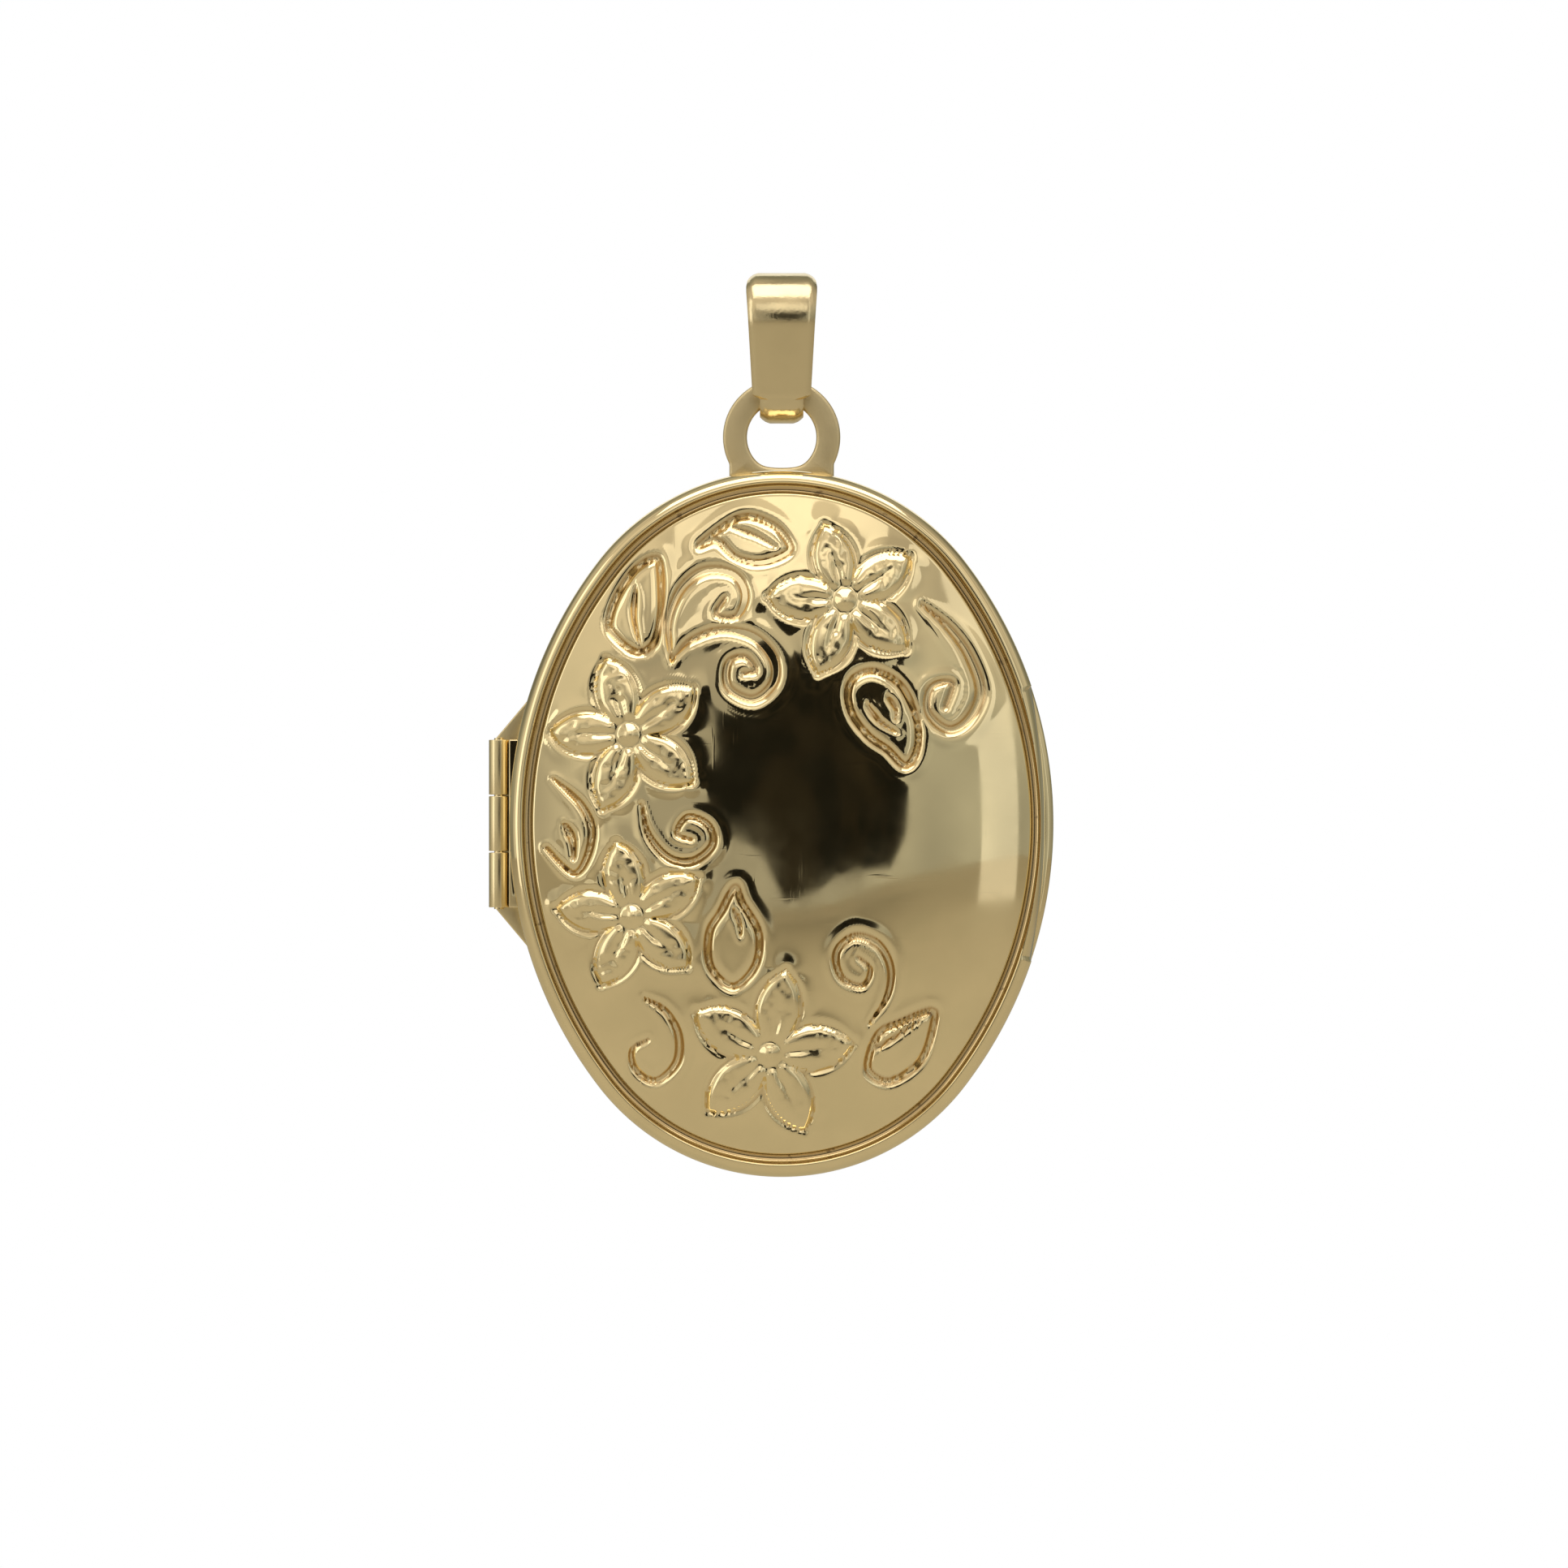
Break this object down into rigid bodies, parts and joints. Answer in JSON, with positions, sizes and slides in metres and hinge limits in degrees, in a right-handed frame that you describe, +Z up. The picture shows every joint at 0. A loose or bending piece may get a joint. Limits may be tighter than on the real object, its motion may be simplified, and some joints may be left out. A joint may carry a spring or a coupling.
{
  "type": "locket",
  "caption": "Oval engraved photo locket with a side-hinged domed cover, snap lip, framed photo recesses, top loop and a tapered bail for a chain.",
  "frame": {"origin": "centre of the bail's chain eye, through which the chain runs", "axes": "+Z up as the locket hangs, the engraved cover faces -Y, the hinge is at -X, and the chain runs along X through the eye"},
  "size_m": [0.0192, 0.0055, 0.0308],
  "materials": {
    "polished_gold": "polished yellow gold with fine wear scratches",
    "satin_gold": "satin yellow gold, rubbed smooth on the edges",
    "inner_gold": "bright gold, little worn, as rolled",
    "clear_window": "clear colourless plastic sheet",
    "photo_card": "matt ivory card"
  },
  "bodies": {
    "bail": {"bail": "satin_gold"},
    "case": {"back_case": "polished_gold", "snap_lip": "inner_gold", "hinge_plate": "polished_gold", "back_knuckle_upper": "polished_gold", "back_knuckle_lower": "polished_gold", "hinge_pin": "inner_gold", "top_loop": "satin_gold", "back_photo_frame": "inner_gold", "back_window": "clear_window", "back_card": "photo_card"},
    "cover": {"front_case": "polished_gold", "front_bearer": "polished_gold", "front_knuckle": "polished_gold", "front_photo_frame": "inner_gold", "front_window": "clear_window", "front_card": "photo_card"}
  },
  "joints": [
    {"name": "case_swing", "type": "hinge", "parent": "bail", "child": "case", "pos_m": [0, 0, -0.00258], "axis": [1, 0, 0], "range_deg": [-45, 45]},
    {"name": "cover_hinge", "type": "hinge", "parent": "case", "child": "cover", "pos_m": [-0.00962, -0.00035, -0.0172], "axis": [0, 0, -1], "range_deg": [0, 170]}
  ]
}
